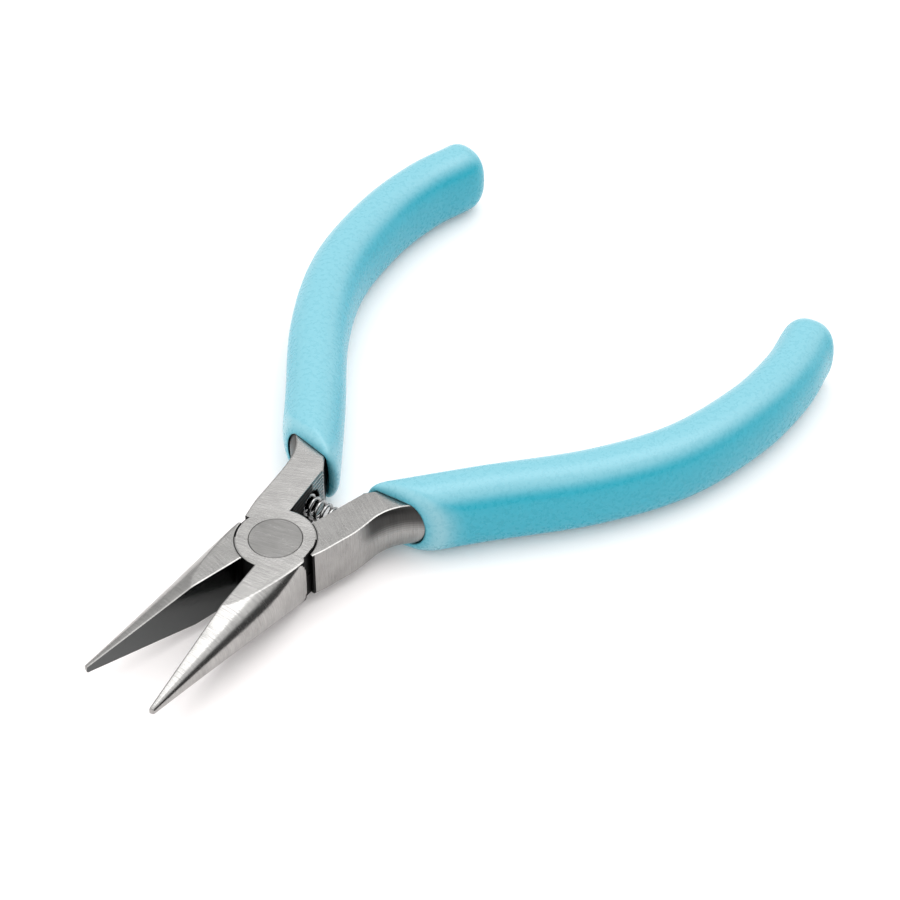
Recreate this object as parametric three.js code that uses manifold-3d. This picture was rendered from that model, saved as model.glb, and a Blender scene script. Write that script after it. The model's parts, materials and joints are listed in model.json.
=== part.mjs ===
// Long-nosed jewellery pliers with half-round jaws, a lap joint held by one flush
// rivet, a coil return spring between the handles, and cushioned grips.
//
// Units are millimetres. +Z is up, the jaws point along -Y and the handles along +Y.
// The two forged halves are the same shape: one lies as modelled, and the other is
// turned half a turn about the Y axis. The pliers lie flat and stand partly open.

import * as THREE from 'three';
import { mergeVertices } from 'three/addons/utils/BufferGeometryUtils.js';
import Module from 'manifold-3d';

const wasm = await Module();
wasm.setup();

// Driving dimensions.

const pivotY = -28.79;         // puts the middle of the whole length on the origin
const openHalfAngle = 10.1;     // degrees that each half is turned from closed
const runningGap = 0.3;         // clearance between pieces that touch or slide

const steelThickness = 8.2;     // both halves, at the joint and along the handles
const bossRadius = 6.15;        // round lap of each half
const bossJawFlat = 6.0;        // flat side of the lap towards the jaw
const bossHandleFlat = 6.2;     // flat side of the lap towards the handle

const jawLength = 34.7;         // pivot to tip
const jawWidth = 6.55;          // widest, inner face line to the flat side
const jawShoulderY = -2.15;     // where the jaw steps out from the lap
const jawTipWidth = 0.55;
const jawTaper = 0.2012;        // growth of the half-round per mm from the tip
const jawFlare = 0.00065;       // and its growth per square mm
const jawRoundness = 0.868;     // height of the half-round over its width
const jawTipInset = 0.15;       // inner face to the closed centre line at the tip
const jawRootInset = 0.35;      // and at the root, so the tips meet first

const handleFrontY = 1.85;      // front edge of the handle bar beside the joint
const handleInset = 0.9;        // inner face of the handle to the closed centre line
const tangHalfWidth = 2.5;      // bar inside the grip
const tangEndHalfWidth = 1.7;
const tangStart = 6.5;          // where the bar joins the grip's path, mm along it
const tangTaperStart = 25;
const tangEnd = 62;

const rivetHeadRadius = 4.05;
const rivetShankRadius = 2.5;
const rivetFlushDepth = 0.05;   // head faces lie this far below the steel faces
const rivetRimHeight = 0.6;
const rivetConeHeight = 1.5;

const springWireRadius = 0.25;
const springCoilRadius = 1.6;   // to the middle of the wire
const springHalfLength = 4.85;
const springTurns = 10.5;
const springY = 11.52;          // spring axis, from the pivot
const pocketY = 12.1;           // blind pocket in each handle, closed position
const pocketRadius = 2.3;
const pocketDepth = 2.4;

const gripHalfWidth = 4.8;
const gripEndHalfWidth = 4.5;
const gripHalfHeight = 6.25;
const gripRoundWidth = 4.0;     // rounding of the grip's section, across
const gripRoundHeight = 5.65;   // and in height
const gripNarrowStart = 50;     // mm along the path
const mouthY = 18.9;            // the mouth is cut aslant, straight across the tool
const mouthLean = 3.6;          // degrees
const mouthCornerAlong = 3.4;   // its inner corner is cut off here, mm along the path

const arcSteps = 48;

// Centre line of the right handle in the closed position, from in front of the
// grip's mouth to the middle of the grip's round end.
const gripPath = new THREE.SplineCurve([
  new THREE.Vector2(3.4, 14.8),
  new THREE.Vector2(11.7, 30.9),
  new THREE.Vector2(20.1, 46.4),
  new THREE.Vector2(24.7, 60.5),
  new THREE.Vector2(25.1, 74.7),
  new THREE.Vector2(23.0, 85.4),
  new THREE.Vector2(20.0, 92.1),
]);
const gripLength = gripPath.getLength();

// Solids: three.js geometry in and out of the boolean library.

function toSolid(geometry) {
  const bare = geometry.clone();
  bare.deleteAttribute('normal');
  bare.deleteAttribute('uv');
  const merged = mergeVertices(bare, 1e-4);
  return new wasm.Manifold(new wasm.Mesh({
    numProp: 3,
    vertProperties: new Float32Array(merged.attributes.position.array),
    triVerts: new Uint32Array(merged.index.array),
  }));
}

function toGeometry(solid) {
  const mesh = solid.getMesh();
  const geometry = new THREE.BufferGeometry();
  geometry.setAttribute('position', new THREE.BufferAttribute(mesh.vertProperties, 3));
  geometry.setIndex(new THREE.BufferAttribute(mesh.triVerts, 1));
  geometry.computeVertexNormals();
  return geometry;
}

// A flat outline made into a plate whose middle plane is z = 0.
function plate(shape, height) {
  const geometry = new THREE.ExtrudeGeometry(shape, {
    depth: height, bevelEnabled: false, curveSegments: 12,
  });
  return geometry.translate(0, 0, -height / 2);
}

function discAlongZ(radius, bottom, top) {
  const geometry = new THREE.CylinderGeometry(radius, radius, top - bottom, arcSteps);
  return geometry.rotateX(Math.PI / 2).translate(0, 0, (top + bottom) / 2);
}

// A point beside the grip's path: mm along it, and mm to its outer side.
function besidePath(along, aside) {
  const tangent = gripPath.getTangentAt(along / gripLength);
  const across = new THREE.Vector2(tangent.y, -tangent.x);
  return gripPath.getPointAt(along / gripLength).addScaledVector(across, aside);
}

// One edge of a bar that follows the path, with its half width as a function.
function edgeAlong(from, to, steps, halfWidth, side) {
  return Array.from({ length: steps + 1 }, (_, i) => {
    const along = from + (to - from) * i / steps;
    return besidePath(along, side * halfWidth(along));
  });
}

// Half ellipse round the end of such a bar, from its outer to its inner edge.
function roundEnd(at, halfWidth, length, steps) {
  const centre = besidePath(at, 0);
  const tangent = gripPath.getTangentAt(at / gripLength);
  const across = new THREE.Vector2(tangent.y, -tangent.x);
  return Array.from({ length: steps - 1 }, (_, i) => {
    const turn = Math.PI * (i + 1) / steps;
    return centre.clone()
      .addScaledVector(across, halfWidth * Math.cos(turn))
      .addScaledVector(tangent, length * Math.sin(turn));
  });
}

// Steel half, lying closed: handle on +X, jaw on -X, lap in the lower level.

// The bar inside the grip, grown by extra all round.
function tangOutline(from, extra) {
  const halfWidth = (along) => extra + THREE.MathUtils.lerp(
    tangHalfWidth, tangEndHalfWidth, THREE.MathUtils.smoothstep(along, tangTaperStart, tangEnd));
  return [
    ...edgeAlong(from, tangEnd, 14, halfWidth, 1),
    ...roundEnd(tangEnd, halfWidth(tangEnd), halfWidth(tangEnd), 6),
    ...edgeAlong(from, tangEnd, 14, halfWidth, -1).reverse(),
  ];
}

function handleBar() {
  const outline = [
    new THREE.Vector2(handleInset, handleFrontY),
    new THREE.Vector2(6.47, handleFrontY),
    new THREE.Vector2(6.82, 5.1),
    new THREE.Vector2(6.93, 9.1),
    new THREE.Vector2(6.85, 13.6),
    new THREE.Vector2(7.05, 16.4),
    ...tangOutline(tangStart, 0),
    new THREE.Vector2(2.5, 18.3),
    new THREE.Vector2(handleInset + 0.2, 16.0),
  ];
  return toSolid(plate(new THREE.Shape(outline), steelThickness));
}

function boss() {
  const disc = toSolid(discAlongZ(bossRadius, -steelThickness / 2, steelThickness / 2));
  const flats = new THREE.BoxGeometry(
    bossJawFlat + bossHandleFlat, 2 * bossRadius + 1, steelThickness + 1);
  flats.translate((bossHandleFlat - bossJawFlat) / 2, 0, 0);
  return disc.intersect(toSolid(flats));
}

// Half-round nose: a prism with a flat inner face, kept where it lies inside a cone
// that grows slowly from the tip and whose section is a little wider than high.
function jaw() {
  const prism = new THREE.Shape([
    new THREE.Vector2(-jawRootInset, 0),
    new THREE.Vector2(-bossJawFlat, 0),
    new THREE.Vector2(-bossJawFlat, jawShoulderY + 0.5),
    new THREE.Vector2(-jawWidth, jawShoulderY),
    new THREE.Vector2(-jawWidth, -jawLength - 1),
    new THREE.Vector2(-jawTipInset, -jawLength - 1),
    new THREE.Vector2(-jawTipInset, -jawLength),
  ]);
  const profile = [new THREE.Vector2(0, -jawLength)];
  for (const turn of [0.35, 0.75, 1.15]) {
    const noseRadius = jawTipWidth * jawRoundness;
    profile.push(new THREE.Vector2(
      noseRadius * Math.sin(turn), -jawLength + noseRadius * (1 - Math.cos(turn))));
  }
  for (const fromTip of [0.9, 4, 8, 12, 16, 20, 24, 28, 32, jawLength]) {
    const width = jawTipWidth + jawTaper * fromTip + jawFlare * fromTip ** 2;
    profile.push(new THREE.Vector2(width * jawRoundness, fromTip - jawLength));
  }
  profile.push(new THREE.Vector2(0, 0));
  const cone = new THREE.LatheGeometry(profile, arcSteps);
  const lean = Math.atan2(jawRootInset - jawTipInset, jawLength);
  cone.scale(1 / jawRoundness, 1, 1);
  cone.rotateZ(-lean).translate(-jawRootInset, 0, 0);
  return toSolid(plate(prism, steelThickness)).intersect(toSolid(cone));
}

// Rivet outline from the axis at one face to the axis at the other, grown by extra.
function rivetProfile(extra) {
  const face = steelThickness / 2 - rivetFlushDepth + (extra > 0 ? 1 : 0);
  const rim = steelThickness / 2 - rivetFlushDepth - rivetRimHeight;
  const coneEnd = rim - rivetConeHeight;
  const half = [
    new THREE.Vector2(0, face),
    new THREE.Vector2(rivetHeadRadius + extra, face),
    new THREE.Vector2(rivetHeadRadius + extra, rim - extra / 2),
    new THREE.Vector2(rivetShankRadius + extra, coneEnd - extra / 2),
  ];
  const lower = half.map((p) => new THREE.Vector2(p.x, -p.y));
  return [...lower, ...half.slice().reverse()];
}

function rivetGeometry(extra) {
  return new THREE.LatheGeometry(rivetProfile(extra), arcSteps).rotateX(Math.PI / 2);
}

function springPocket() {
  const start = -1;
  const length = handleInset + pocketDepth - start;
  const bore = new THREE.CylinderGeometry(pocketRadius, pocketRadius, length, 32);
  return toSolid(bore.rotateZ(Math.PI / 2).translate(start + length / 2, pocketY, 0));
}

function steelHalf() {
  const seat = toSolid(discAlongZ(
    bossRadius + runningGap, -runningGap / 2, steelThickness));
  return boss().add(handleBar()).add(jaw())
    .subtract(seat)
    .subtract(toSolid(rivetGeometry(runningGap)))
    .subtract(springPocket());
}

// Cushion grip: a rounded banana, cut aslant at its mouth, with a slot for the bar.

// A block that fills the side of a line away from the handle's end.
function blockInFront(point, degrees) {
  const size = 40;
  const block = new THREE.BoxGeometry(size, size, size);
  block.translate(0, -size / 2, 0);
  block.rotateZ(THREE.MathUtils.degToRad(degrees));
  return toSolid(block.translate(point.x, point.y, 0));
}

function grip() {
  const halfWidth = (along) => THREE.MathUtils.lerp(
    gripHalfWidth, gripEndHalfWidth,
    THREE.MathUtils.smoothstep(along, gripNarrowStart, gripLength));
  const tangent = gripPath.getTangentAt(0);
  const outline = new THREE.Shape([
    besidePath(0, -gripHalfWidth).addScaledVector(tangent, -gripHalfWidth),
    besidePath(0, gripHalfWidth).addScaledVector(tangent, -gripHalfWidth),
    ...edgeAlong(0, gripLength, 26, halfWidth, 1),
    ...roundEnd(gripLength, gripEndHalfWidth, gripEndHalfWidth, 10),
    ...edgeAlong(0, gripLength, 26, halfWidth, -1).reverse(),
  ]);
  const body = new THREE.ExtrudeGeometry(outline, {
    depth: 2 * (gripHalfHeight - gripRoundHeight),
    bevelThickness: gripRoundHeight,
    bevelSize: gripRoundWidth,
    bevelOffset: -gripRoundWidth,
    bevelSegments: 5,
  });
  body.translate(0, 0, gripRoundHeight - gripHalfHeight);
  const slot = plate(
    new THREE.Shape(tangOutline(0, runningGap)), steelThickness + 2 * runningGap);
  const squareAcross = THREE.MathUtils.radToDeg(Math.atan2(-tangent.x, tangent.y));
  return toSolid(body)
    .subtract(blockInFront(new THREE.Vector2(0, mouthY), mouthLean))
    .subtract(blockInFront(besidePath(mouthCornerAlong, 0), squareAcross))
    .subtract(toSolid(slot));
}

// Round wire wound into an open coil along X.

class Coil extends THREE.Curve {
  getPoint(t, target = new THREE.Vector3()) {
    const turn = 2 * Math.PI * springTurns * t;
    return target.set(
      springHalfLength * (2 * t - 1) * (1 - springWireRadius / springHalfLength),
      springY + springCoilRadius * Math.cos(turn),
      springCoilRadius * Math.sin(turn));
  }
}

function springGeometry() {
  const section = new THREE.Shape();
  section.absarc(0, 0, springWireRadius, 0, 2 * Math.PI);
  return new THREE.ExtrudeGeometry(section, {
    steps: Math.round(springTurns * 12),
    curveSegments: 4,
    bevelEnabled: false,
    extrudePath: new Coil(),
  });
}

// Materials.

const steel = new THREE.MeshStandardMaterial({ color: 0xc3c1bc, roughness: 0.32, metalness: 1 });
const rivetSteel = new THREE.MeshStandardMaterial({ color: 0xb3b1ad, roughness: 0.36, metalness: 1 });
const springSteel = new THREE.MeshStandardMaterial({ color: 0xcfcdc8, roughness: 0.22, metalness: 1 });
const blueVinyl = new THREE.MeshStandardMaterial({ color: 0x74cfe0, roughness: 0.38, metalness: 0 });

function named(name, geometry, material) {
  const mesh = new THREE.Mesh(geometry, material);
  mesh.name = name;
  return mesh;
}

// Assembly.

function restingHalf(steelName, gripName) {
  const half = new THREE.Group();
  half.rotation.z = -THREE.MathUtils.degToRad(openHalfAngle);
  half.add(named(steelName, toGeometry(steelHalf()), steel));
  half.add(named(gripName, toGeometry(grip()), blueVinyl));
  return half;
}

const lowerHalf = restingHalf('jaw_handle_lower', 'grip_right');
const upperHalf = new THREE.Group();
upperHalf.rotation.y = Math.PI;
upperHalf.add(restingHalf('jaw_handle_upper', 'grip_left'));

const group = new THREE.Group();
group.position.set(0, pivotY, gripHalfHeight);
group.add(lowerHalf, upperHalf);
group.add(named('pivot_rivet', rivetGeometry(0), rivetSteel));
group.add(named('return_spring', springGeometry(), springSteel));

export default group;
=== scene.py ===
# %% [markdown]
# # Long-nosed jewellery pliers
# The tool is two forged steel halves that cross in a lap joint, one flush rivet, a small coil spring that
# pushes the handles apart, and two soft blue grips. The halves are the same forging: turn one over, lay
# it on the other, and rivet them. So one half is modelled lying closed and placed twice; only the ground
# outer sides of the two bars differ a little.

# %% Load the frame
import json
import bpy
import bmesh
import numpy as np
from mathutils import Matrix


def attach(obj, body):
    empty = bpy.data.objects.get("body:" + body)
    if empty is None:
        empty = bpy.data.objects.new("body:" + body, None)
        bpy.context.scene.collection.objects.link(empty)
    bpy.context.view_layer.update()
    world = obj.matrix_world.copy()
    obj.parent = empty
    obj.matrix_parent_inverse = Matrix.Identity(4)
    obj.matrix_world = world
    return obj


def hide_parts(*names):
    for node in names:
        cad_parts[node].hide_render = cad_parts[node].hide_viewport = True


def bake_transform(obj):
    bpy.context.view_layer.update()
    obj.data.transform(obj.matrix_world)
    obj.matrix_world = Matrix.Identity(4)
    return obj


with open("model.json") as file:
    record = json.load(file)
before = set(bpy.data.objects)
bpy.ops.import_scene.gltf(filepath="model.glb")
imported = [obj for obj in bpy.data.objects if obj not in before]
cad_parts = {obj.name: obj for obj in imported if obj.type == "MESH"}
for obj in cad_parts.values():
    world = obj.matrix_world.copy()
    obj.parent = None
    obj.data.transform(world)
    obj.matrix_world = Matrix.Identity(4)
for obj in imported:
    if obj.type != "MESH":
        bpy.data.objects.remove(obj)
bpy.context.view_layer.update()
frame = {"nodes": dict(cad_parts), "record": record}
pivot = np.array(frame["record"]["behaviour"]["joints"][0]["pos_m"])
print("pivot at", pivot, "nodes", sorted(frame["nodes"]))

# %% [markdown]
# ## Camera, table and light
# A long lens from the front right, looking down about 44 degrees, keeps the tool's proportions nearly
# flat. Satin steel shows whatever surrounds it, so the room matters as much as the lamp: a big soft lamp
# behind and above gives the bright edges, and a black cloth low on the right gives the dark streak that
# runs along each rounded flank. The table is plain and nearly white. Many small lamps would also light
# the tool, but each would show as its own spot in the steel.

# %% Camera
MM = 0.001
LOOK_AZIMUTH, LOOK_ELEVATION = np.radians(39.03), np.radians(43.81)
LOOK_AT = pivot + np.array([5.6, 34.5, 0.0]) * MM
LOOK_DISTANCE = 456.9 * MM
LENS, SENSOR = 117.1, 36.0


def direction(azimuth, elevation):
    """Unit vector from the object towards a point seen at this azimuth (0 is -Y, 90 is +X) and elevation."""
    level = np.cos(elevation)
    return np.array([np.sin(azimuth) * level, -np.cos(azimuth) * level, np.sin(elevation)])


camera_data = bpy.data.cameras.new("catalogue_camera")
camera_data.lens = LENS
camera_data.sensor_width = SENSOR
camera_data.clip_start = 0.01
camera = bpy.data.objects.new("catalogue_camera", camera_data)
camera.location = LOOK_AT + direction(LOOK_AZIMUTH, LOOK_ELEVATION) * LOOK_DISTANCE
camera.rotation_euler = (np.pi / 2 - LOOK_ELEVATION, 0, LOOK_AZIMUTH)
bpy.context.collection.objects.link(camera)
bpy.context.scene.camera = camera
print("camera at", tuple(round(v, 4) for v in camera.location))

# %% [markdown]
# ## Helpers for materials
# A material is a small network of nodes, and building one by hand takes three lines for each node. These
# helpers make a node, set it and link it in one call, so that each finish further down reads as a recipe.


# %% Node helpers
def new_material(name):
    """An empty node material with its Principled shader and output, and the node tree to add to."""
    material = bpy.data.materials.new(name)
    material.use_nodes = True
    tree = material.node_tree
    return material, tree, tree.nodes["Principled BSDF"]


def add_node(tree, kind, inputs=None, **settings):
    """A node with its settings, its inputs given by name or number as values or as sockets to link from."""
    node = tree.nodes.new(kind)
    for key, value in settings.items():
        setattr(node, key, value)
    for key, value in (inputs or {}).items():
        if isinstance(value, bpy.types.NodeSocket):
            tree.links.new(value, node.inputs[key])
        else:
            node.inputs[key].default_value = value
    return node


def ramp(tree, factor, stops):
    """A colour ramp whose stops are (position, grey or rgb)."""
    node = add_node(tree, "ShaderNodeValToRGB", {"Fac": factor})
    elements = node.color_ramp.elements
    while len(elements) < len(stops):
        elements.new(0.5)
    for element, (position, colour) in zip(elements, stops):
        element.position = position
        rgb = (colour,) * 3 if isinstance(colour, (int, float)) else colour
        element.color = (*rgb, 1.0)
    return node.outputs["Color"]


# %% [markdown]
# ## Setting up the studio
# The room is a world shader painted by direction, so it is reflected by the steel but makes no object and
# no shadow. Ramps along a few directions are enough; a picture wrapped round the world would do too, but
# this can be read and tuned by its numbers.


# %% Table, lamps and room
TABLE_HALF = 1.5
ROOM_BRIGHTNESS = 1.45
WALL_AZIMUTH, WALL_ELEVATION = np.radians(243), np.radians(30)


def lay_table():
    """A wide pale sheet under the tool, at the height of the lowest point of the grips."""
    half = TABLE_HALF
    mesh = bpy.data.meshes.new("table")
    corners = [(-half, -half, 0), (half, -half, 0), (half, half, 0), (-half, half, 0)]
    mesh.from_pydata(corners, [], [(0, 1, 2, 3)])
    table = bpy.data.objects.new("table", mesh)
    bpy.context.collection.objects.link(table)
    material, tree, shader = new_material("white_paper")
    shader.inputs["Base Color"].default_value = (0.92, 0.885, 0.88, 1)
    shader.inputs["Emission Color"].default_value = (1.0, 1.0, 1.0, 1)
    shader.inputs["Emission Strength"].default_value = 0.1
    shader.inputs["Roughness"].default_value = 0.9
    mesh.materials.append(material)
    return table


def hang_lamp(name, azimuth, elevation, distance, width, height, brightness):
    """A rectangular soft lamp that faces the tool. Its power is pi times its area times its brightness."""
    data = bpy.data.lights.new(name, "AREA")
    data.shape = "RECTANGLE"
    data.size, data.size_y = width, height
    data.energy = np.pi * width * height * brightness
    lamp = bpy.data.objects.new(name, data)
    lamp.location = direction(np.radians(azimuth), np.radians(elevation)) * distance
    lamp.rotation_euler = (np.pi / 2 - np.radians(elevation), 0, np.radians(azimuth))
    bpy.context.collection.objects.link(lamp)
    return lamp


def paint_room():
    """World light by direction: bright overhead, a little less near the horizon, a dim wall behind on the
    left and a black cloth standing low on the right. Each is a ramp along one direction, and they
    multiply."""
    world = bpy.data.worlds.new("studio")
    bpy.context.scene.world = world
    world.use_nodes = True
    tree = world.node_tree
    place = add_node(tree, "ShaderNodeTexCoord")
    split = add_node(tree, "ShaderNodeSeparateXYZ", {0: place.outputs["Generated"]})
    height = ramp(tree, split.outputs["Z"], [(0.0, 0.7), (0.35, 0.78), (0.62, 0.86), (0.9, 1.0)])
    toward = add_node(tree, "ShaderNodeVectorMath", {0: place.outputs["Generated"]},
                      operation="DOT_PRODUCT")
    toward.inputs[1].default_value = direction(WALL_AZIMUTH, WALL_ELEVATION)
    wall = ramp(tree, toward.outputs["Value"], [(0.55, 1.0), (0.9, 0.72)])
    beside = ramp(tree, split.outputs["X"], [(0.64, 0.0), (0.74, 1.0)])
    below = ramp(tree, split.outputs["Z"], [(0.48, 0.95), (0.62, 0.0)])
    cloth = add_node(tree, "ShaderNodeVectorMath", {0: beside, 1: below},
                     operation="MULTIPLY").outputs[0]
    open_part = add_node(tree, "ShaderNodeVectorMath", {0: (1.0, 1.0, 1.0), 1: cloth},
                         operation="SUBTRACT")
    shade = add_node(tree, "ShaderNodeVectorMath", {0: height, 1: wall}, operation="MULTIPLY")
    shade = add_node(tree, "ShaderNodeVectorMath", {0: shade.outputs[0], 1: open_part.outputs[0]},
                     operation="MULTIPLY")
    background = tree.nodes["Background"]
    tree.links.new(shade.outputs[0], background.inputs["Color"])
    background.inputs["Strength"].default_value = ROOM_BRIGHTNESS


lay_table()
paint_room()
hang_lamp("back_softbox", 184, 70, 1.0, 1.0, 0.5, 2.15)
bpy.context.scene.view_settings.view_transform = "Standard"

# %% [markdown]
# ## Surfaces from grids
# Every new piece is a grid of points worked out by a formula, then turned into quads. A helper closes the
# grid round one way or both, and caps an open end with one flat face.


# %% Grid to mesh
def grid_faces(rows, columns, close_rows=False, close_columns=True):
    """Quads of a grid of rows by columns points, numbered row by row."""
    i = np.arange(rows if close_rows else rows - 1)[:, None]
    j = np.arange(columns if close_columns else columns - 1)[None, :]
    i, j = np.broadcast_arrays(i, j)
    below, beside = (i + 1) % rows, (j + 1) % columns
    quads = [i * columns + j, i * columns + beside, below * columns + beside, below * columns + j]
    return np.stack(quads, -1).reshape(-1, 4)


def grid_mesh(name, points, close_rows=False, cap_first=False, cap_last=False):
    """A mesh from a (rows, columns, 3) array of metres, closed round its columns. A cap is one flat
    face."""
    rows, columns = points.shape[:2]
    faces = grid_faces(rows, columns, close_rows).tolist()
    if cap_first:
        faces.append(list(range(columns))[::-1])
    if cap_last:
        faces.append(list(range((rows - 1) * columns, rows * columns)))
    mesh = bpy.data.meshes.new(name)
    mesh.from_pydata(points.reshape(-1, 3).tolist(), [], faces)
    return face_outwards(mesh)


def face_outwards(mesh):
    """Turns the whole closed mesh right side out, by the sign of its volume."""
    work = bmesh.new()
    work.from_mesh(mesh)
    bmesh.ops.recalc_face_normals(work, faces=work.faces)
    if work.calc_volume(signed=True) < 0:
        bmesh.ops.reverse_faces(work, faces=work.faces)
    work.to_mesh(mesh)
    work.free()
    return mesh


def show(name, mesh):
    """Links a mesh as an object of the same name at the origin."""
    piece = bpy.data.objects.new(name, mesh)
    bpy.context.collection.objects.link(piece)
    return piece


def smooth_step(value, start, end):
    """0 before start, 1 after end, and an S-curve between."""
    t = np.clip((value - start) / (end - start), 0, 1)
    return t * t * (3 - 2 * t)


def through(points, parameter):
    """Catmull-Rom curve through the points, its end points doubled, at parameters from 0 to 1."""
    points = np.asarray(points, float)
    p = np.concatenate([points[:1], points, points[-1:]])
    spans = len(points) - 1
    t = np.clip(np.asarray(parameter), 0, 1) * spans
    k = np.minimum(t.astype(int), spans - 1)
    f = (t - k)[..., None]
    a, b, c, d = p[k], p[k + 1], p[k + 2], p[k + 3]
    square = (2 * a - 5 * b + 4 * c - d) * f**2
    cube = (3 * b - a - 3 * c + d) * f**3
    return 0.5 * (2 * b + (c - a) * f + square + cube)


def height_curve(knots, y):
    """x as a smooth function of y through (x, y) knots: cubic Hermite, with the slope at each knot taken from
    its neighbours."""
    x_knot, y_knot = np.array(knots, float).T
    slope = np.gradient(x_knot, y_knot)
    k = np.clip(np.searchsorted(y_knot, y) - 1, 0, len(y_knot) - 2)
    span = y_knot[k + 1] - y_knot[k]
    t = np.clip((y - y_knot[k]) / span, 0, 1)
    rise = x_knot[k + 1] - x_knot[k]
    return (x_knot[k] + rise * t * t * (3 - 2 * t)
            + span * t * (1 - t) * (slope[k] * (1 - t) - slope[k + 1] * t))


# %% [markdown]
# ## The forged half
# A real half starts as a drop forging and is ground flat top and bottom. It has three stretches: a nose
# that is half a cone, flat inside; a round lap, half as thick, that the rivet goes through; and a bar
# that bends out into the grip, its outer side ground to a barrel. Each stretch here is a section carried
# along the tool's length, with the small ground-off edges built into the section, and booleans join them
# and cut the seat for the other lap, the rivet hole and the spring's pocket. A bevel modifier could break
# the edges instead, but it stumbles on the slivers that booleans leave. Lengths are in millimetres from
# the pivot, with the tool closed: handle on +X, jaw on -X, lap below.

# %% Measures of the half
HALF_OPEN = np.radians(10.1)
HALF_THICK = 4.1
EDGE_WIDE, EDGE_DROP = 0.19, 0.075
FLAT_STEPS = np.array([0.0, 0.03, 0.5, 0.97, 1.0])
SHARP_STEEL = np.radians(15)
LAP_RADIUS, LAP_JAW_FLAT, LAP_BAR_FLAT = 6.15, 6.0, 6.2
SEAT_RADIUS = 6.3
LAP_GAP = 0.05
JAW_LENGTH, JAW_WIDTH = 35.0, 6.55
JAW_TIP_WIDTH, JAW_TAPER, JAW_FLARE, JAW_ROUNDNESS = 0.8, 0.197, 0.00065, 0.84
JAW_NOSE = 0.3
JAW_TIP_INSET, JAW_ROOT_INSET = 0.06, 0.22
SHOULDER_FRONT, SHOULDER_BACK = -2.15, -1.65
BAR_FRONT, BAR_INSET, BAR_HALF_WIDTH = 1.85, 0.9, 2.5
BAR_LENGTH = 62.0
OUTER_EDGE = {
    "upper": [(6.47, 1.85), (6.84, 5.3), (6.82, 9.0), (6.8, 12.0), (6.88, 14.7), (7.06, 16.6), (7.62, 18.5)],
    "lower": [(6.5, 1.85), (6.72, 3.5), (6.86, 7.0), (6.92, 9.7), (6.66, 12.1), (6.36, 14.5), (6.62, 16.8),
              (7.16, 18.3)],
}
BARREL = {"upper": 1.1, "lower": 1.3}
BARREL_START, BARREL_FULL, BARREL_POWER = 7.5, 19.0, 0.7
INNER_CORNER_Y = 16.06
GROOVE_DEPTH, GROOVE_PITCH = 0.16, 0.72
HANDLE_PATH = [(3.4, 14.8), (11.7, 30.9), (20.1, 46.4), (24.7, 60.5), (25.1, 74.7), (23.1, 85.4),
               (20.3, 92.35)]
print("jaw", JAW_LENGTH, "mm, lap radius", LAP_RADIUS, "mm, steel", 2 * HALF_THICK, "mm thick")


def place(points, upper):
    """Millimetres in the closed position to metres in the open one: turned about the rivet, and for the
    upper half turned over about the Y axis as well."""
    x, y, z = np.moveaxis(np.asarray(points, float), -1, 0)
    c, s = np.cos(HALF_OPEN), np.sin(HALF_OPEN)
    x, y = c * x + s * y, c * y - s * x
    side = -1.0 if upper else 1.0
    return np.stack([side * x, y, side * z], -1) * MM + pivot


def steel_mesh(name, sections):
    """A closed solid from sections, capped at both ends."""
    return grid_mesh(name, sections, cap_first=True, cap_last=True)


# %% [markdown]
# ### The nose
# Each jaw is half a cone, forged round outside and ground flat inside, with its top and underside ground
# level with the lap. Cutting a cone with boxes gives that shape, but leaves knife edges. Here the
# sections carry a small broken edge all round, and the round and the flats run into each other by a
# formula.


# %% The nose
SOFTNESS = 14.0


def jaw_width(from_tip):
    """Half-round radius across: tip width plus a taper that flares slowly."""
    return JAW_TIP_WIDTH + JAW_TAPER * from_tip + JAW_FLARE * from_tip**2


def soft_minimum(a, b):
    """(a^-n + b^-n)^(-1/n): the smaller of two widths, with a soft corner where they are equal."""
    return (a**-SOFTNESS + b**-SOFTNESS) ** (-1 / SOFTNESS)


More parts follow.
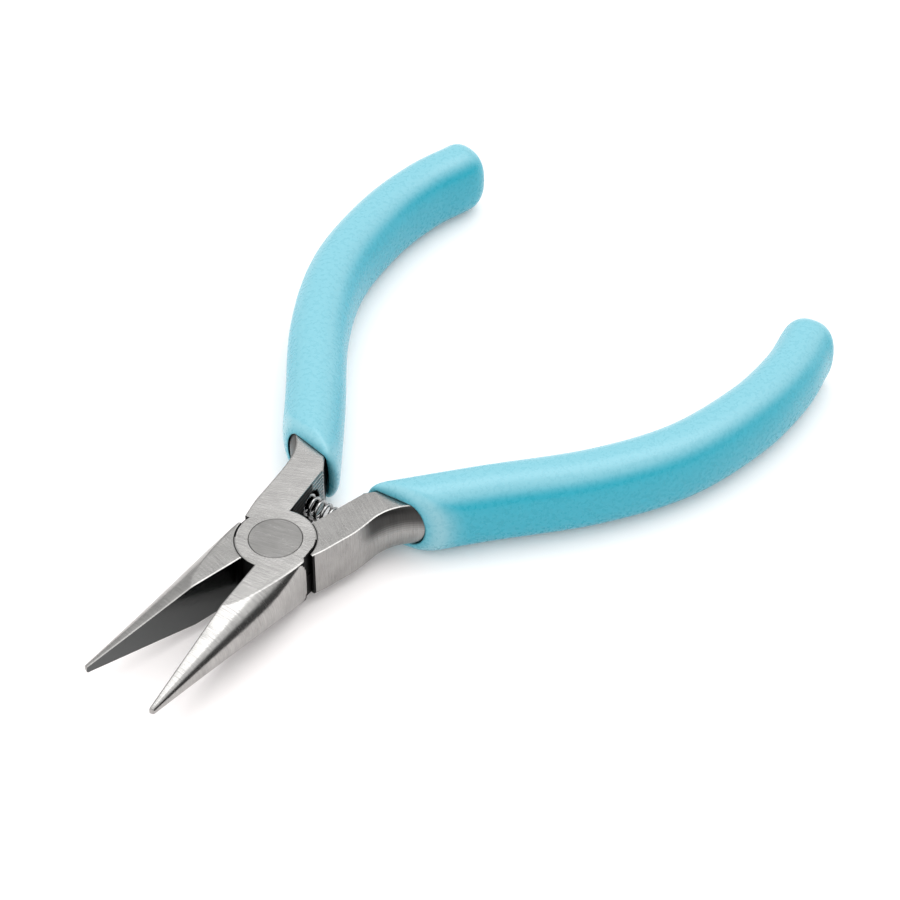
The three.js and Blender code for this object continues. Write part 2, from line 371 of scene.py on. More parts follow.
def jaw_sections():
    """Sections of the nose from the tip into the lap. Each is half an ellipse, w cos a across and r w sin a
    high, where r is the jaw's roundness. It is cut flat above and below at the steel's thickness, and
    blended into the jaw's upright side."""
    nose = JAW_NOSE
    rounding = nose * (1 - np.cos(np.linspace(0.5, np.pi / 2, 7)))
    shoulder = JAW_LENGTH + np.array([SHOULDER_FRONT, SHOULDER_BACK, -0.7])
    from_tip = np.concatenate([rounding, np.linspace(1.0, shoulder[0], 120), shoulder[1:]])
    width = jaw_width(from_tip)
    blunt = np.where(from_tip < nose, np.sqrt(np.clip(1 - (1 - from_tip / nose) ** 2, 0, 1)), 1.0)
    width = (width * blunt)[:, None]
    height = JAW_ROUNDNESS * width
    y = (from_tip - JAW_LENGTH)[:, None]
    side_flat = np.interp(from_tip, [0, *shoulder], [JAW_WIDTH, JAW_WIDTH, LAP_JAW_FLAT, 5.4])[:, None]
    inset = JAW_TIP_INSET + (JAW_ROOT_INSET - JAW_TIP_INSET) * (1 + y / JAW_LENGTH)
    side_flat = side_flat - inset
    edge = np.minimum(EDGE_WIDE, 0.2 * width)
    top_angle = np.where(height > HALF_THICK, np.arcsin(np.minimum(HALF_THICK / height, 1)), np.pi / 2)
    top_angle = np.minimum(top_angle, np.arccos(np.clip(2.2 * edge / width, 0, 1)))
    ground = 0.06 / np.maximum(width, 1.0)
    arc = top_angle - ground - (top_angle - ground - 0.02) * np.linspace(0, 1, 26)
    top = np.minimum(height * np.sin(top_angle), HALF_THICK)
    reach = soft_minimum(width * np.cos(top_angle), side_flat)
    ridge = np.maximum(reach - 1.1 * edge, edge * 1.05)
    flat_x = edge + (ridge - edge) * FLAT_STEPS
    arc_x = soft_minimum(width * np.cos(arc), side_flat)
    quarter_x = np.concatenate([np.zeros_like(width), flat_x, arc_x], 1)
    arc_z = height * np.sin(arc)
    quarter_z = np.concatenate([top - 0.4 * edge, np.repeat(top, len(FLAT_STEPS), 1), arc_z], 1)
    x = np.concatenate([quarter_x, quarter_x[:, ::-1]], 1)
    z = np.concatenate([quarter_z, -quarter_z[:, ::-1]], 1)
    return np.stack([-(x + inset), np.broadcast_to(y, x.shape), z], -1)


# %% [markdown]
# ### The lap
# The lap is the round plate that the rivet goes through, half as thick as the tool. It is made past the
# middle plane, because the seat for the other half's lap is cut away afterwards and leaves it the right
# height.


# %% The lap
LAP_TOP = 1.0


def lap_sections():
    """A disc with two flats, from its ground face up past the middle plane, as rings of growing height."""
    turn = np.linspace(0, 2 * np.pi, 96, endpoint=False)[None, :]
    cosine = np.cos(turn)
    flat = np.where(cosine > 0, LAP_BAR_FLAT, LAP_JAW_FLAT) / np.maximum(np.abs(cosine), 1e-6)
    radius = np.minimum(LAP_RADIUS, flat)
    inward = np.array([EDGE_WIDE, 0.0, 0.0])[:, None]
    height = np.array([-HALF_THICK, EDGE_DROP - HALF_THICK, LAP_TOP])[:, None]
    r = radius - inward
    return np.stack([r * cosine, r * np.sin(turn), np.broadcast_to(height, r.shape)], -1)


# %% [markdown]
# ### The bar
# The bar leaves the lap nearly straight, bends outwards and goes on inside the grip as a narrow tang. Its
# inner side shows the milling cutter's marks and its outer side is ground to a barrel. A curve object
# with a bevelled profile has the same section all along; a grid lets the section change on the way.


# %% The bar
PATH_STEPS, PATH_SPARE = 1200, 6.0
path_samples = through(HANDLE_PATH, np.linspace(0, 1, PATH_STEPS))
path_end = path_samples[-1] - path_samples[-2]
spare_end = path_samples[-1:] + path_end / np.linalg.norm(path_end) * PATH_SPARE
path_samples = np.concatenate([path_samples, spare_end])
path_run = np.concatenate([[0], np.cumsum(np.linalg.norm(np.diff(path_samples, axis=0), axis=1))])
print("handle line", round(float(path_run[-1]), 2), "mm")


def path_at(along):
    """Point on the handle's centre line, its tangent and its outward direction, at millimetres along it."""
    point = np.stack([np.interp(along, path_run, path_samples[:, k]) for k in (0, 1)], -1)
    ahead = np.stack([np.interp(along + 0.3, path_run, path_samples[:, k]) for k in (0, 1)], -1)
    behind = np.stack([np.interp(along - 0.3, path_run, path_samples[:, k]) for k in (0, 1)], -1)
    tangent = (ahead - behind) / np.linalg.norm(ahead - behind, axis=-1, keepdims=True)
    return point, tangent, np.stack([tangent[..., 1], -tangent[..., 0]], -1)


def bar_half_width(along):
    """Half the bar's width inside the grip, tapering to its end."""
    return BAR_HALF_WIDTH - 0.8 * smooth_step(along, 25, BAR_LENGTH)


def bar_edges(half):
    """The bar's outer and inner top edges, matched point by point. By the joint the outer edge is a curve
    through a few places and the inner one nearly straight; inside the grip both run beside the handle's
    centre line. The two runs of the inner edge meet in a sharp corner. Rows start level and turn square to
    the handle as it leans."""
    along = np.linspace(0.0, BAR_LENGTH, 170)
    point, _, outward = path_at(along)
    offset = outward * bar_half_width(along)[:, None]
    outer_far, inner_far = point + offset, point - offset
    outer_far = outer_far[outer_far[:, 1] > 22.5][::6]
    row_y = np.concatenate([np.linspace(BAR_FRONT, 24, 120), np.linspace(24, point[-1, 1], 90)[1:]])
    tangent = path_at(np.interp(row_y, path_samples[:, 1], path_run))[1]
    lean = tangent[:, 0] * BAR_HALF_WIDTH * smooth_step(row_y, 12, 24)
    outer_y, inner_y = row_y - lean, row_y + lean
    outer_x = height_curve(OUTER_EDGE[half] + [tuple(p) for p in outer_far], outer_y)
    inner_x = np.maximum(BAR_INSET + 0.019 * (inner_y - BAR_FRONT),
                         np.interp(inner_y, inner_far[:, 1], inner_far[:, 0], left=0.0))
    return np.stack([outer_x, outer_y], -1), np.stack([inner_x, inner_y], -1)


def barrel(half, y, z):
    """How far the outer side stands proud of the line between its edges: b (1 - (z / h)^2)^p, where b grows
    from nothing near the joint to its full height in the grip. The power rolls the top edge over
    quickly."""
    full = BARREL[half] * smooth_step(y, BARREL_START, BARREL_FULL)
    return full * np.clip(1 - (z / HALF_THICK) ** 2, 0, 1) ** BARREL_POWER


def grooves(y, z):
    """Depth of the milling marks on the inner side: a cosine up the height, from the joint to the corner."""
    strength = smooth_step(y, 3.0, 4.0) * (1 - smooth_step(y, INNER_CORNER_Y - 0.3, INNER_CORNER_Y))
    return GROOVE_DEPTH * strength * (0.5 - 0.5 * np.cos(2 * np.pi * z / GROOVE_PITCH))


def bar_sections(half):
    """Sections between matching points of the two edges: up the grooved inner side, over the top with a small
    chamfer, down the barrel, and back underneath."""
    outer, inner = bar_edges(half)
    across = (outer - inner) / np.linalg.norm(outer - inner, axis=1, keepdims=True)
    width = np.linalg.norm(outer - inner, axis=1)[:, None]
    top = HALF_THICK - EDGE_DROP
    z_out = top * np.sin(np.linspace(np.pi / 2, -np.pi / 2, 31))[None, :]
    z_in = np.linspace(-top, top, 67)[None, :]
    side_out = width + barrel(half, outer[:, 1:], z_out) - barrel(half, outer[:, 1:], top)
    side_in = grooves(inner[:, 1:], z_in)
    flat = EDGE_WIDE + (width - 2 * EDGE_WIDE) * FLAT_STEPS[None, :]
    reach = np.concatenate([flat, side_out, flat[:, ::-1], side_in], 1)
    level = np.full(len(FLAT_STEPS), HALF_THICK)
    z = np.concatenate([level, z_out[0], -level, z_in[0]])
    plan = inner[:, None, :] + across[:, None, :] * reach[..., None]
    return np.concatenate([plan, np.broadcast_to(z[None, :, None], (*plan.shape[:2], 1))], -1)


# %% [markdown]
# ### What is cut away
# On the bench the seat for the other lap is milled, the rivet's hole is drilled and countersunk, and the
# spring's pocket is drilled. Each cutter is a profile turned about its axis, with its small chamfer in
# it, so the cut leaves a broken edge.


# %% Cutters
def turned(profile, steps=96):
    """Rings about the Z axis from a list of (radius, height)."""
    turn = np.linspace(0, 2 * np.pi, steps, endpoint=False)[None, :]
    radius, height = (np.array(column)[:, None] for column in zip(*profile))
    height = np.broadcast_to(height, (len(profile), steps))
    return np.stack([radius * np.cos(turn), radius * np.sin(turn), height], -1)


RIVET_HEAD, RIVET_SHANK, RIVET_GAP = 4.05, 2.5, 0.06
SPRING_PLACE, POCKET_RADIUS, POCKET_DEPTH = 12.1, 2.3, 2.4
SEAT_CHAMFER, CUTTER_TOP = 0.3, 6.0
seat_mouth = SEAT_RADIUS + SEAT_CHAMFER
seat_cutter = turned([(SEAT_RADIUS, -LAP_GAP), (SEAT_RADIUS, HALF_THICK - EDGE_DROP),
                      (seat_mouth, HALF_THICK + EDGE_DROP), (seat_mouth, CUTTER_TOP)], 128)
hole = RIVET_HEAD + RIVET_GAP
rivet_cutter = turned([(hole + 0.12, -HALF_THICK - 0.06), (hole, -HALF_THICK + 0.06), (hole, -3.45),
                       (RIVET_SHANK + RIVET_GAP, -1.95), (RIVET_SHANK + RIVET_GAP, 2.0)])
rings = turned([(POCKET_RADIUS + 0.5, -1.0), (POCKET_RADIUS + 0.3, BAR_INSET - 0.1),
                (POCKET_RADIUS, BAR_INSET + 0.25), (POCKET_RADIUS, BAR_INSET + POCKET_DEPTH)], 48)
pocket_cutter = np.stack([rings[..., 2], rings[..., 1] + SPRING_PLACE, rings[..., 0]], -1)
print("cutters: seat", seat_cutter.shape, "rivet hole", rivet_cutter.shape, "pocket", pocket_cutter.shape)


# %% [markdown]
# ### Joining, cutting and marking
# The stretches are joined and the cutters taken away with exact booleans, in the order the metal would be
# worked. Each face is then given two numbers, which the steel's material reads: where it is black, with oxide
# and painted shade, and where the polished inner face of a jaw is painted dark. Painting a picture on the
# mesh would need it unwrapped; a number on a face doesn't.


# %% Join and cut
def boolean_chain(base, steps):
    """Applies union and difference with each mesh in turn, and returns the resulting mesh."""
    body = show("half_in_work", base)
    helpers = []
    for operation, mesh in steps:
        helper = show("helper", mesh)
        helpers.append(helper)
        cut = body.modifiers.new("cut", "BOOLEAN")
        cut.operation, cut.object, cut.solver = operation, helper, "EXACT"
    evaluated = body.evaluated_get(bpy.context.evaluated_depsgraph_get())
    result = bpy.data.meshes.new_from_object(evaluated)
    for thing in [body, *helpers]:
        bpy.data.objects.remove(thing)
    return result


def unplace(vectors, upper):
    """Turns directions in the open position back to the closed one. It undoes the turning in place()."""
    x, y, z = np.moveaxis(vectors, -1, 0)
    side = -1.0 if upper else 1.0
    x, z = side * x, side * z
    c, s = np.cos(HALF_OPEN), np.sin(HALF_OPEN)
    return np.stack([c * x - s * y, s * x + c * y, z], -1)


def mark_finishes(mesh, upper):
    """Two numbers for each face. The first is black: part oxide, part painted shade in the joint, in the
    holes, round the spring and on the lap's upright rim; painted shade on the bar's inner side near the
    joint, in the bottoms of its grooves and inside the grip; and a painted dark reflection on the upward side
    of each barrel beside its grip. The second is the polished face inside each jaw, painted dark in place of
    its dark reflection."""
    count = len(mesh.polygons)
    centre, normal = np.empty(count * 3), np.empty(count * 3)
    mesh.polygons.foreach_get("center", centre)
    mesh.polygons.foreach_get("normal", normal)
    x, y, z = unplace((centre.reshape(-1, 3) - pivot) / MM, upper).T
    nx, _, nz = unplace(normal.reshape(-1, 3), upper).T
    # Faces inside the joint are made black: part oxide the tool has there, part painted shade.
    inside = (np.hypot(x, y) < 6.88) & (np.abs(z) < HALF_THICK - EDGE_DROP - 0.02)
    # The polished face inside each jaw, painted dark in place of its dark reflection.
    inner_jaw = (nx > 0.9) & (y < -1.0) & (x > -1.0)
    inner_bar = (nx < -0.5) & (y > 1.0) & (x < 3.5) & (np.abs(z) < HALF_THICK - 0.05)
    # Painted shade on the bar's inner side, near the joint and past its inner corner inside the grip.
    inner_bar_oxide_and_shade = 0.9 * np.maximum(1 - smooth_step(y, 12.4, 13.0),
                             smooth_step(y, INNER_CORNER_Y, INNER_CORNER_Y + 0.4))
    # Painted shade in the bottoms of the milling grooves.
    groove_painted_shade = 0.5 * grooves(y, z) / GROOVE_DEPTH
    black = np.where(inner_bar, np.maximum(inner_bar_oxide_and_shade, groove_painted_shade), 0.0)
    # Painted shade round the spring's pocket.
    pocket = (np.hypot(y - SPRING_PLACE, z) < POCKET_RADIUS + 0.25) & (x < 4.0) & (y > 8.0)
    black = np.where(inside | pocket, 1.0, black)
    # Painted shade on the lap's upright rim, in the gap between the two halves.
    rim = (np.hypot(x, y) < 6.25) & (np.abs(x) > 5.4) & (np.abs(nz) < 0.97)
    black = np.where(rim, 1.0, black)
    # A painted dark reflection, on the upward side of each barrel beside its grip.
    rising = z if not upper else -z
    painted_dark_reflection = smooth_step(y, 9.5, 13.5) * smooth_step(rising, -0.6, 2.2)
    black = np.where((nx > 0.5) & (x > 5.5) & (np.abs(nz) < 0.8), np.maximum(black, 0.85 * painted_dark_reflection), black)
    for label, values in (("oxide_and_painted_shade", black), ("lapped_painted_dark", np.where(inner_jaw, 1.0, 0.0))):
        layer = mesh.attributes.new(label, "FLOAT", "FACE")
        layer.data.foreach_set("value", values.astype(np.float32))
    print("blackened faces", int((black > 0.5).sum()), "lapped faces", int(inner_jaw.sum()))


def forge_half(name, upper):
    """One finished half: bar, lap and nose joined, then seat, hole and pocket cut."""
    def put(label, sections):
        return steel_mesh(label, place(sections, upper))
    steps = [("UNION", put("lap", lap_sections())), ("UNION", put("nose", jaw_sections())),
             ("DIFFERENCE", put("seat", seat_cutter)), ("DIFFERENCE", put("hole", rivet_cutter)),
             ("DIFFERENCE", put("pocket", pocket_cutter))]
    mesh = boolean_chain(put("bar", bar_sections("upper" if upper else "lower")), steps)
    mesh.name = name
    mesh.shade_smooth()
    mesh.set_sharp_from_angle(angle=SHARP_STEEL)
    mark_finishes(mesh, upper)
    piece = show(name, mesh)
    even = piece.modifiers.new("even_normals", "WEIGHTED_NORMAL")
    even.keep_sharp = True
    print(name, len(mesh.vertices), "points", len(mesh.polygons), "faces")
    return piece


steel_upper = forge_half("steel_half_upper", True)
steel_lower = forge_half("steel_half_lower", False)


# %% [markdown]
# ## The rivet
# The rivet's two heads are filled flush with the halves and then ground with them, so only a hair line
# and a slightly different sheen show where it ends. It is a profile turned about the joint's axis. A
# cylinder with bevelled ends would look the same from above, but would not fill the countersinks.


# %% Rivet
def rivet_profile():
    """(radius, height) from the lower pole to the upper one: flat face, fine edge, straight rim, cone and
    shank."""
    face, fine = HALF_THICK - 0.02, 0.05
    half = [(0.0, face), (1.4, face), (2.8, face), (RIVET_HEAD - fine, face), (RIVET_HEAD, face - fine),
            (RIVET_HEAD, 3.5), (RIVET_SHANK, 2.0), (RIVET_SHANK, 0.7)]
    return [(r, -h) for r, h in half] + [(r, h) for r, h in half[::-1]]


def make_rivet():
    """The rivet's profile turned about the joint's axis."""
    rings = turned(rivet_profile()[1:-1], 96) * MM + pivot
    mesh = grid_mesh("joint_rivet", rings, cap_first=True, cap_last=True)
    mesh.shade_smooth()
    mesh.set_sharp_from_angle(angle=np.radians(30))
    return show("joint_rivet", mesh)


rivet = make_rivet()

# %% [markdown]
# ## The spring
# A short compression spring sits in a drilled pocket in each handle. It is a helix whose turns close up
# at both ends, swept with a round wire. When the handles are squeezed its ends follow the two halves. A
# curve object with a bevel would also do, but a swept grid has its faces where I want them.

# %% Spring
SPRING_REACH, SPRING_RADIUS, WIRE_RADIUS, SPRING_TURNS = 4.85, 1.6, 0.28, 8.6
SPRING_Y = 11.52
CLOSED_PITCH, OPEN_PITCH = WIRE_RADIUS * 2.1, 0.62


def swept_wire(centre, radius, sides=10):
    """Rings of the wire's radius round each point of a centre line, square to it and free of twist."""
    tangent = np.gradient(centre, axis=0)
    tangent /= np.linalg.norm(tangent, axis=1, keepdims=True)
    axis = np.array([1.0, 0.0, 0.0])
    first = np.cross(tangent, axis)
    first /= np.linalg.norm(first, axis=1, keepdims=True)
    second = np.cross(tangent, first)
    turn = np.linspace(0, 2 * np.pi, sides, endpoint=False)[None, :, None]
    ring = np.cos(turn) * first[:, None, :] + np.sin(turn) * second[:, None, :]
    return centre[:, None, :] + radius * ring


def spring_line(steps_per_turn=28):
    """Helix about X: angle 2 pi turns t, and x runs end to end with the first and last turn lying closed."""
    turns = np.linspace(0, SPRING_TURNS, int(SPRING_TURNS * steps_per_turn) + 1)
    opening = OPEN_PITCH * smooth_step(turns, 0.6, 1.6) * smooth_step(SPRING_TURNS - turns, 0.6, 1.6)
    pitch = CLOSED_PITCH + opening
    x = np.concatenate([[0], np.cumsum((pitch[1:] + pitch[:-1]) / 2 * np.diff(turns))])
    reach = SPRING_REACH - WIRE_RADIUS
    x = (x / x[-1] * 2 - 1) * reach
    angle = 2 * np.pi * turns
    across = SPRING_RADIUS * np.cos(angle), SPRING_RADIUS * np.sin(angle)
    return np.stack([x, SPRING_Y + across[0], across[1]], -1)


def make_spring():
    """The wire swept along the helix, and its two ends capped."""
    rings = swept_wire(spring_line(), WIRE_RADIUS) * MM + pivot
    mesh = grid_mesh("return_coil", rings, cap_first=True, cap_last=True)
    mesh.shade_smooth()
    mesh.set_sharp_from_angle(angle=np.radians(60))
    print("spring", len(mesh.vertices), "points")
    return show("return_coil", mesh)


coil = make_spring()

# %% [markdown]
# ## The grips
# Each grip is a thick vinyl sleeve, dipped or pushed on: oval outside, a tight slot inside, a soft rolled
# lip at the mouth and a round closed end. Outer wall, lip and inner wall are one surface. Its rows run
# along the handle's bend and its columns run round it, and both walls are rays from the same centre:
# outside to a superellipse, inside to the bar's own outline plus a hair of clearance.

# %% Measures of the grip
GRIP_HALF_WIDTH, GRIP_END_HALF_WIDTH, GRIP_HALF_HEIGHT, GRIP_POWER = 4.8, 4.5, 6.25, 2.37
GRIP_LENGTH = path_run[-1] - 1.15
MOUTH_Y, MOUTH_LEAN = {"upper": 17.8, "lower": 17.1}, 0.325
MOUTH_SLACK_OUT, MOUTH_SLACK_IN = {"upper": 0.25, "lower": 0.12}, 0.5
LIP_ROLL = 2.9
END_ROUND = 3.9
GRIP_CLEARANCE = 0.09
DOME_POWER, LIP_POWER = 0.74, 0.8
print("grip", 2 * GRIP_HALF_WIDTH, "x", 2 * GRIP_HALF_HEIGHT, "mm")


# %% Sleeve
def side_reach(half):
    """How far the bar's two edges lie from the handle's centre line, for places along it: each point of an
    edge is matched to the nearest sample of the line."""
    reaches = []
    for edge in bar_edges(half):
        gap = edge[:, None, :] - path_samples[None, ::4, :]
        nearest = np.argmin((gap**2).sum(-1), axis=1) * 4
        point, _, outward = path_at(path_run[nearest])
        keep = nearest > 0
        reaches.append((path_run[nearest][keep], ((edge - point) * outward).sum(-1)[keep]))
    return reaches


def ray_to_oval(turn, half_width, half_height, power):
    """Distance to |x / w|^n + |z / h|^n = 1 along the ray at an angle."""
    across = np.abs(np.cos(turn) / half_width) ** power
    upwards = np.abs(np.sin(turn) / half_height) ** power
    return (across + upwards) ** (-1 / power)


def ray_to_slot(turn, wall, bulge):
    """Distance to the slot's outline along the ray: flat top and bottom, and sides that bulge from the wall
    as the barrel does. The reach and the height are stepped into each other until they agree."""
    cosine, sine = np.maximum(np.abs(np.cos(turn)), 1e-6), np.maximum(np.abs(np.sin(turn)), 1e-6)
    roof = (HALF_THICK + GRIP_CLEARANCE) / sine
    distance = np.minimum(roof, wall / cosine)
    for _ in range(16):
        lift = np.clip(1 - (distance * sine / HALF_THICK) ** 2, 0, 1) ** BARREL_POWER
        distance = 0.5 * distance + 0.5 * np.minimum(roof, (wall + bulge * lift) / cosine)
    return distance


def sleeve(half, columns=128):
    """Rows from the closed end over the outside to the mouth, round the lip, and back inside to the bar's
    end. The mouth is a leaning upright plane, and the rows near it lean to lie in it."""
    turn = np.linspace(0, 2 * np.pi, columns, endpoint=False)[None, :]
    (out_at, out_reach), (in_at, in_reach) = side_reach(half)
    mouth_run = np.interp(0, path_samples[:, 1] - MOUTH_Y[half] - MOUTH_LEAN * path_samples[:, 0], path_run)

    def laid(run, radius_of):
        """Points at distances past the mouth plane. Near it, a point off the centre line is moved along the
        handle by its offset times the plane's slope against the line; that fades over the first 14 mm."""
        run = np.broadcast_to(run, (run.shape[0], columns))
        along = mouth_run + run
        for _ in range(3):
            radius = radius_of(along)
            offset = radius * np.cos(turn)
            _, tangent, outward = path_at(along)
            forward = tangent[..., 1] - MOUTH_LEAN * tangent[..., 0]
            slope = (MOUTH_LEAN * outward[..., 0] - outward[..., 1]) / forward
            along = mouth_run + run + (1 - smooth_step(run, 1.0, 14.0)) * slope * offset
        point, _, outward = path_at(along)
        plan = point + outward * (radius * np.cos(turn))[..., None]
        return np.concatenate([plan, (radius * np.sin(turn))[..., None]], -1)

    def slot(along):
        """Reach of the inner wall, slack at the mouth and close round the bar from 7 mm in."""
        slack = 1 - smooth_step(along - mouth_run, 0.0, 7.0)
        y = np.interp(along, path_run, path_samples[:, 1])
        out = np.cos(turn) > 0
        wall = np.where(out, np.interp(along, out_at, out_reach), -np.interp(along, in_at, in_reach))
        bulge = np.where(out, barrel(half, y, 0.0) + MOUTH_SLACK_OUT[half] * slack, MOUTH_SLACK_IN * slack)
        return ray_to_slot(turn, wall + GRIP_CLEARANCE, bulge)

    def oval(along):
        """Reach of the outer wall, a little narrower towards the closed end."""
        narrow = smooth_step(along, 50.0, GRIP_LENGTH)
        half_width = GRIP_HALF_WIDTH + (GRIP_END_HALF_WIDTH - GRIP_HALF_WIDTH) * narrow
        return ray_to_oval(turn, half_width, GRIP_HALF_HEIGHT, GRIP_POWER)

    length = GRIP_LENGTH - mouth_run
    swing = np.linspace(0.03, np.pi / 2, 22)[:, None]
    dome = laid(length - END_ROUND + END_ROUND * np.cos(swing),
                lambda a: oval(a) * np.sin(swing) ** DOME_POWER)
    wall = laid(np.linspace(length - END_ROUND, LIP_ROLL, 150)[1:, None], oval)
    roll = np.linspace(0, np.pi / 2, 18)[1:, None]
    lip = laid(LIP_ROLL * (1 - np.sin(roll)),
               lambda a: slot(a) + (oval(a) - slot(a)) * np.cos(roll) ** LIP_POWER)
    inside = laid(np.linspace(0.25, BAR_LENGTH + 0.6 - mouth_run, 90)[:, None], slot)
    return np.concatenate([dome, wall, lip, inside]), len(dome) + len(wall)


def make_grip(name, upper):
    """One sleeve with its ends closed, and a number on each point that is 1 round the lip."""
    rings, lip_row = sleeve("upper" if upper else "lower")
    mesh = grid_mesh(name, place(rings, upper), cap_first=True, cap_last=True)
    mesh.shade_smooth()
    rows, columns = rings.shape[:2]
    row = np.repeat(np.arange(rows), columns)
    rim = np.exp(-((row - lip_row - 6) / 9.0) ** 2)
    layer = mesh.attributes.new("rim", "FLOAT", "POINT")
    layer.data.foreach_set("value", rim.astype(np.float32))
    print(name, len(mesh.vertices), "points")
    return show(name, mesh)


grip_upper = make_grip("vinyl_grip_left", True)
grip_lower = make_grip("vinyl_grip_right", False)

# %% [markdown]
# ## Finishes
# The steel is ground on a belt that runs across each member, so its scratches lie in planes square to the
# tool's length: one noise, stretched in two directions and fine in the third, gives them on top, side and
# cone alike. It goes to colour, roughness and bump, and the shader's own stretch of the highlight follows
# it. An image of scratches would need the steel unwrapped, and would show seams where the pieces were
# joined.


# %% Steel finish
def ground_steel(name, turn, lean, tone, rough=0.24, stretch=0.5):
    """Belt-ground steel. The scratches are planes of constant y + k x from the joint, with the tool closed:
    k is 0 at the nose and the lap and becomes the lean on the bar, which was ground at its own angle.
    Black oxide and painted shade, and the jaws' polished faces painted dark, come from the faces' own
    numbers."""
    material, tree, shader = new_material(name)
    shader.inputs["Metallic"].default_value = 1.0
    shader.inputs["Anisotropic"].default_value = stretch
    here = add_node(tree, "ShaderNodeTexCoord").outputs["Object"]
    turned_back = {"Vector": here, "Location": tuple(pivot), "Rotation": (0, 0, turn)}
    local = add_node(tree, "ShaderNodeMapping", turned_back, vector_type="TEXTURE").outputs[0]
    part = add_node(tree, "ShaderNodeSeparateXYZ", {0: local})
    k = add_node(tree, "ShaderNodeMapRange", {0: part.outputs[1], 1: 1 * MM, 2: 7 * MM, 3: 0.0, 4: lean},
                 interpolation_type="SMOOTHSTEP").outputs[0]
    row = add_node(tree, "ShaderNodeMath", {0: part.outputs[0], 1: k, 2: part.outputs[1]},
                   operation="MULTIPLY_ADD").outputs[0]
    swept = add_node(tree, "ShaderNodeCombineXYZ",
                     {0: part.outputs[0], 1: row, 2: part.outputs[2]}).outputs[0]

    def scratches(across, along, detail):
        """Noise that is fine across the scratches and stretched along them, in waves per metre."""
        fine = add_node(tree, "ShaderNodeMapping", {"Vector": swept, "Scale": (along, across, along)})
        noise = add_node(tree, "ShaderNodeTexNoise",
                         {"Vector": fine.outputs[0], "Scale": 1.0, "Detail": detail, "Roughness": 0.6})
        return noise.outputs["Fac"]

    coarse, fine = scratches(5200, 160, 2.0), scratches(11000, 600, 2.0)
    speck = add_node(tree, "ShaderNodeTexNoise",
                     {"Vector": local, "Scale": 3500.0, "Detail": 2.0}).outputs["Fac"]
    cloud = add_node(tree, "ShaderNodeTexNoise",
                     {"Vector": local, "Scale": 260.0, "Detail": 4.0}).outputs["Fac"]
    lines = add_node(tree, "ShaderNodeMath", {0: coarse, 1: fine}, operation="ADD").outputs[0]
    grain = add_node(tree, "ShaderNodeMath", {0: lines, 1: cloud}, operation="ADD").outputs[0]
    grain = add_node(tree, "ShaderNodeMath", {0: grain, 1: 1 / 3}, operation="MULTIPLY").outputs[0]
    warm = np.array([1.0, 0.985, 0.96])
    steel = ramp(tree, grain, [(0.4, tuple(tone * 0.84 * warm)), (0.6, tuple(tone * 1.16 * warm))])
    gloss = ramp(tree, grain, [(0.4, rough * 1.15), (0.6, rough * 0.87)])
    # The polished inner jaw faces are painted dark in place of their dark reflection; the other layer is
    # black oxide and painted shade.
    oxide_and_painted_dark = (("lapped_painted_dark", (0.1, 0.105, 0.105), 0.17), ("oxide_and_painted_shade", (0.01, 0.01, 0.01), 0.5))
    for label, colour, value in oxide_and_painted_dark:
        amount = add_node(tree, "ShaderNodeAttribute", attribute_name=label).outputs["Fac"]
        steel = add_node(tree, "ShaderNodeMix", {0: amount, 6: steel, 7: (*colour, 1)},
                         data_type="RGBA").outputs[2]
        gloss = add_node(tree, "ShaderNodeMix", {0: amount, 2: gloss, 3: value}).outputs[0]
    tree.links.new(steel, shader.inputs["Base Color"])
    tree.links.new(gloss, shader.inputs["Roughness"])
    relief = add_node(tree, "ShaderNodeMath", {0: speck, 1: 2.0, 2: fine},
                      operation="MULTIPLY_ADD").outputs[0]
    bump = add_node(tree, "ShaderNodeBump", {"Height": relief, "Strength": 0.35, "Distance": 0.000014})
    tree.links.new(bump.outputs[0], shader.inputs["Normal"])
    across = add_node(tree, "ShaderNodeCombineXYZ", {0: k, 1: 1.0, 2: 0.0}).outputs[0]
    across = add_node(tree, "ShaderNodeMapping", {"Vector": across, "Rotation": (0, 0, turn)},
                      vector_type="VECTOR").outputs[0]
    across = add_node(tree, "ShaderNodeVectorTransform", {0: across}, vector_type="VECTOR",
                      convert_from="OBJECT", convert_to="WORLD").outputs[0]
    tree.links.new(across, shader.inputs["Tangent"])
    return material
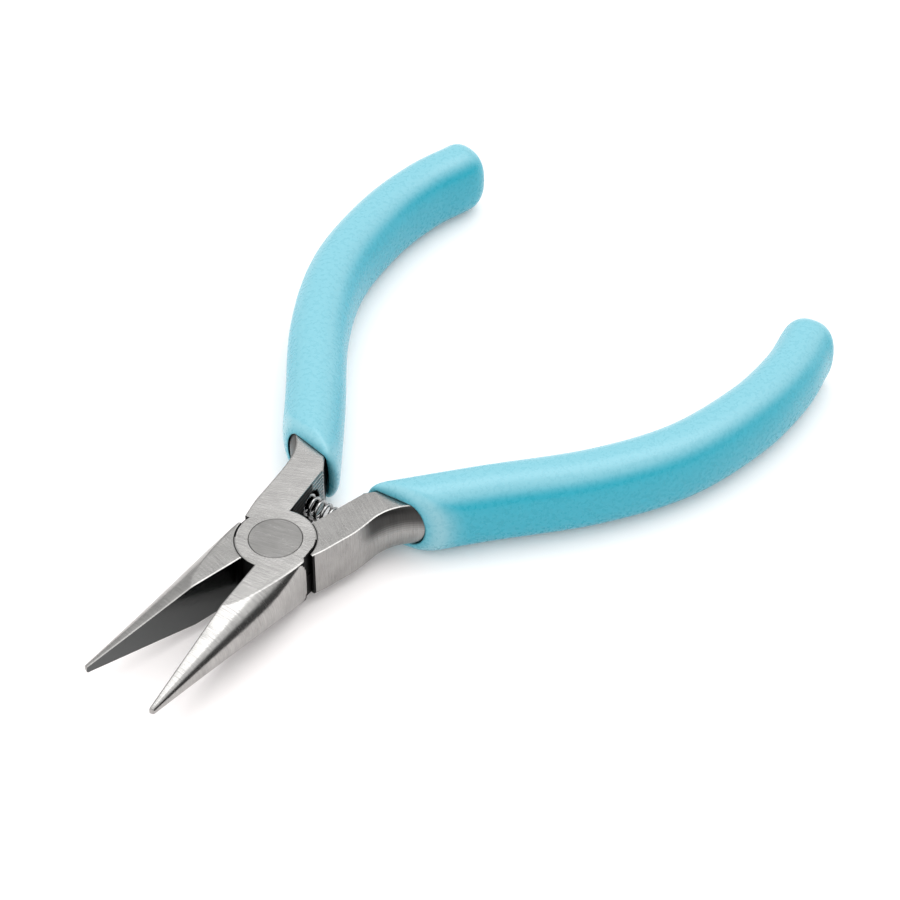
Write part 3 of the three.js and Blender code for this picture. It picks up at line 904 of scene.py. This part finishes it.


# %% [markdown]
# ### Vinyl
# The grips are one soft plastic with its colour right through, deep on the flanks. A painted sheen makes
# the tops and bottoms paler, by which way the surface faces, and the lip is paler too, by the number on its
# points.
# True depth scattering would soften it too, but it is slow and hardly shows on a plastic this dense.


# %% Vinyl finish
def soft_vinyl():
    """Semi-gloss turquoise vinyl, deep on the flanks, with faint cloudy mottling and an orange-peel skin. A
    painted sheen makes the tops and bottoms paler, and the lip is paler too."""
    material, tree, shader = new_material("turquoise_vinyl")
    here = add_node(tree, "ShaderNodeTexCoord").outputs["Object"]
    cloud = add_node(tree, "ShaderNodeTexNoise", {"Vector": here, "Scale": 1200.0, "Detail": 3.0,
                     "Roughness": 0.6}).outputs["Fac"]
    peel = add_node(tree, "ShaderNodeTexNoise",
                    {"Vector": here, "Scale": 1700.0, "Detail": 0.0}).outputs["Fac"]
    deep = ramp(tree, cloud, [(0.33, (0.012, 0.36, 0.47)), (0.67, (0.024, 0.4, 0.52))])
    # Painted sheen: the tops and bottoms are paler by which way the surface faces.
    facing = add_node(tree, "ShaderNodeNewGeometry").outputs["Normal"]
    up = add_node(tree, "ShaderNodeSeparateXYZ", {0: facing})
    painted_top_sheen = add_node(tree, "ShaderNodeMath", {0: up.outputs[2]}, operation="ABSOLUTE").outputs[0]
    painted_top_sheen = add_node(tree, "ShaderNodeMapRange", {0: painted_top_sheen, 1: 0.35, 2: 0.9, 3: 0.0, 4: 0.85},
                     interpolation_type="SMOOTHSTEP").outputs[0]
    # The lip is paler as well, by the number on its points.
    rim = add_node(tree, "ShaderNodeAttribute", attribute_name="rim").outputs["Fac"]
    painted_sheen_and_pale_lip = add_node(tree, "ShaderNodeMath", {0: painted_top_sheen, 1: rim}, operation="MAXIMUM").outputs[0]
    pale = ramp(tree, cloud, [(0.33, (0.21, 0.5, 0.585)), (0.67, (0.24, 0.53, 0.61))])
    colour = add_node(tree, "ShaderNodeMix", {0: painted_sheen_and_pale_lip, 6: deep, 7: pale}, data_type="RGBA").outputs[2]
    tree.links.new(colour, shader.inputs["Base Color"])
    tree.links.new(ramp(tree, cloud, [(0.35, 0.26), (0.65, 0.3)]), shader.inputs["Roughness"])
    bump = add_node(tree, "ShaderNodeBump", {"Height": peel, "Strength": 0.12, "Distance": 0.00002})
    tree.links.new(bump.outputs[0], shader.inputs["Normal"])
    shader.inputs["IOR"].default_value = 1.5
    shader.inputs["Specular IOR Level"].default_value = 0.5
    return material


# %% [markdown]
# ### Wire
# Drawn wire is brighter than ground steel, with fine marks. At this size a little noise in colour and
# roughness is enough to keep it from looking like chrome.


# %% Spring wire
def spring_wire():
    """Bright drawn wire with fine marks."""
    material, tree, shader = new_material("bright_wire")
    place_node = add_node(tree, "ShaderNodeTexCoord").outputs["Object"]
    marks = add_node(tree, "ShaderNodeTexNoise",
                     {"Vector": place_node, "Scale": 5000.0, "Detail": 3.0}).outputs["Fac"]
    tree.links.new(ramp(tree, marks, [(0.3, 0.28), (0.7, 0.5)]), shader.inputs["Base Color"])
    tree.links.new(ramp(tree, marks, [(0.3, 0.2), (0.7, 0.3)]), shader.inputs["Roughness"])
    shader.inputs["Metallic"].default_value = 1.0
    return material


# %% [markdown]
# ## Hand over to the frame
# Each new piece stands for one designed node, and all but the spring move with a body: the half whose lap
# is on top carries the rivet, and the other half turns about the rivet. The spring's placement is applied
# to its mesh.

# %% Dress and ride
BAR_LEAN = 0.33
vinyl = soft_vinyl()
# The upper half's steel gets a lighter tone than the lower half's, though both are one steel: painted light,
# for how each half catches the light.
outfit = [
    (steel_upper, "jaw_handle_upper", "upper_half", "jaw_steel",
     ground_steel("ground_steel_upper", HALF_OPEN, -BAR_LEAN, 0.365)),
    (steel_lower, "jaw_handle_lower", "lower_half", "jaw_steel",
     ground_steel("ground_steel_lower", -HALF_OPEN, BAR_LEAN, 0.33)),
    (rivet, "pivot_rivet", "upper_half", "rivet_steel",
     ground_steel("rivet_face_steel", 0.3, 0.0, 0.24, rough=0.3, stretch=0.3)),
    (grip_upper, "grip_left", "upper_half", "grip_vinyl", vinyl),
    (grip_lower, "grip_right", "lower_half", "grip_vinyl", vinyl),
]
for piece, node, body, slot_name, material in outfit:
    piece.data.materials.append(material)
    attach(piece, body)
    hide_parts(node)
coil.data.materials.append(spring_wire())
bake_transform(coil)
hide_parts("return_spring")
